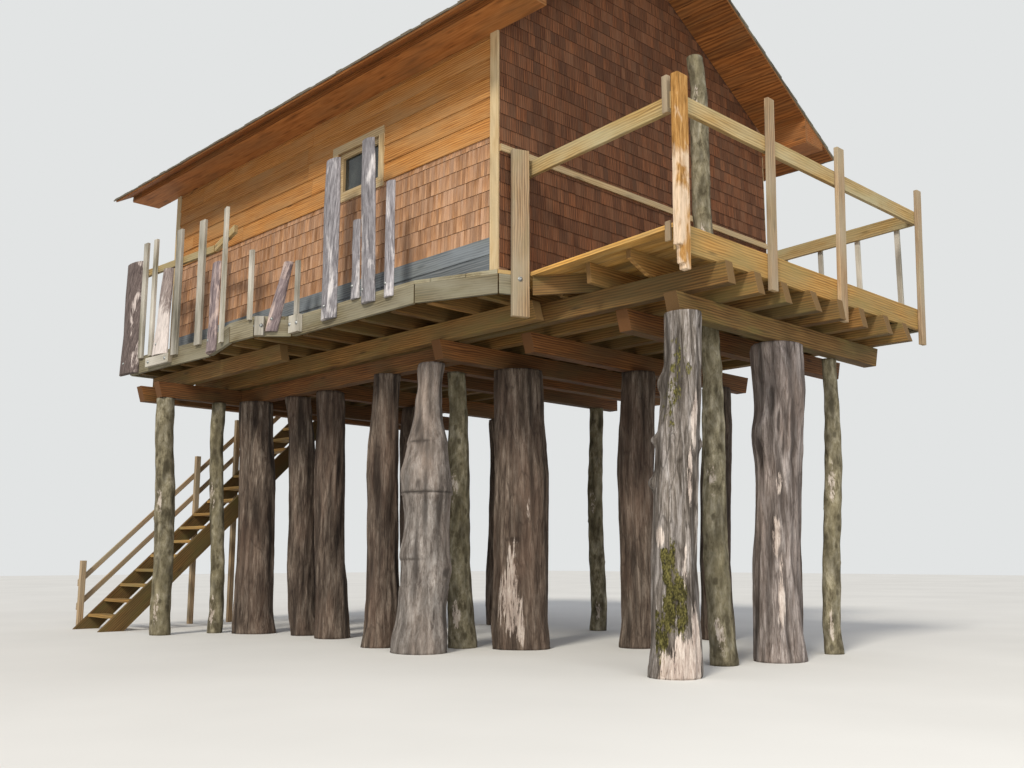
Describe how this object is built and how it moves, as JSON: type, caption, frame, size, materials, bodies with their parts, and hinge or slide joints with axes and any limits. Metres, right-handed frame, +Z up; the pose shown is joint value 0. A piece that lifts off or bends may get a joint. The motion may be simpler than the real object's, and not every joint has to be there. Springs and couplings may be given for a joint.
{
  "type": "tree house",
  "caption": "Timber cabin with a gable roof and a railed porch on a platform of sawn beams carried by barked tree trunks, with an outside stair",
  "frame": {"origin": "middle of the near corner trunk's foot, on the ground", "axes": "+X along the porch's open front edge, +Y back along the cabin's long side and ridge, +Z up"},
  "size_m": [6.015, 9.935, 7.7816],
  "materials": {
    "bark": "rough bark, grey brown",
    "wall_shingles": "stained shingles and boards",
    "roofing": "weathered grey covering over orange boards",
    "decking": "weathered boards",
    "window_glass": "clear",
    "painted_trim": "cream, weathered",
    "weathered_rail": "sun bleached, bark left on",
    "frame_timber": "sawn, orange brown"
  },
  "bodies": {
    "root": {"bare_trunk": "bark", "cabin_floor": "decking", "corner_boards": "painted_trim", "corner_trunk": "bark", "cross_beams": "frame_timber", "deck_joists": "frame_timber", "door": "painted_trim", "eave_soffits": "frame_timber", "edge_blocks": "weathered_rail", "end_beams": "frame_timber", "end_fascia": "frame_timber", "end_wall": "wall_shingles", "floor_joists": "frame_timber", "front_beam": "frame_timber", "front_fascia": "frame_timber", "front_rail": "weathered_rail", "front_trunk": "bark", "front_wall": "wall_shingles", "knobbly_trunk": "bark", "landing_beams": "frame_timber", "landing_deck": "decking", "landing_posts": "frame_timber", "left_beam": "frame_timber", "left_fascia": "frame_timber", "left_trunks": "bark", "left_wall": "wall_shingles", "poles": "bark", "porch_deck": "decking", "porch_posts": "weathered_rail", "porch_side_rails": "weathered_rail", "porch_trunk": "bark", "rafter_tails": "frame_timber", "rail_pickets": "weathered_rail", "ridge_beam": "frame_timber", "right_fascia": "frame_timber", "right_trunks": "bark", "right_wall": "wall_shingles", "roof_left": "roofing", "roof_right": "roofing", "side_rail": "weathered_rail", "side_slabs": "weathered_rail", "stair_posts": "weathered_rail", "stair_rails": "weathered_rail", "stair_stringers": "frame_timber", "stair_treads": "decking", "walkway_deck": "decking", "window_frames": "painted_trim", "window_glass": "window_glass"}
  },
  "joints": []
}
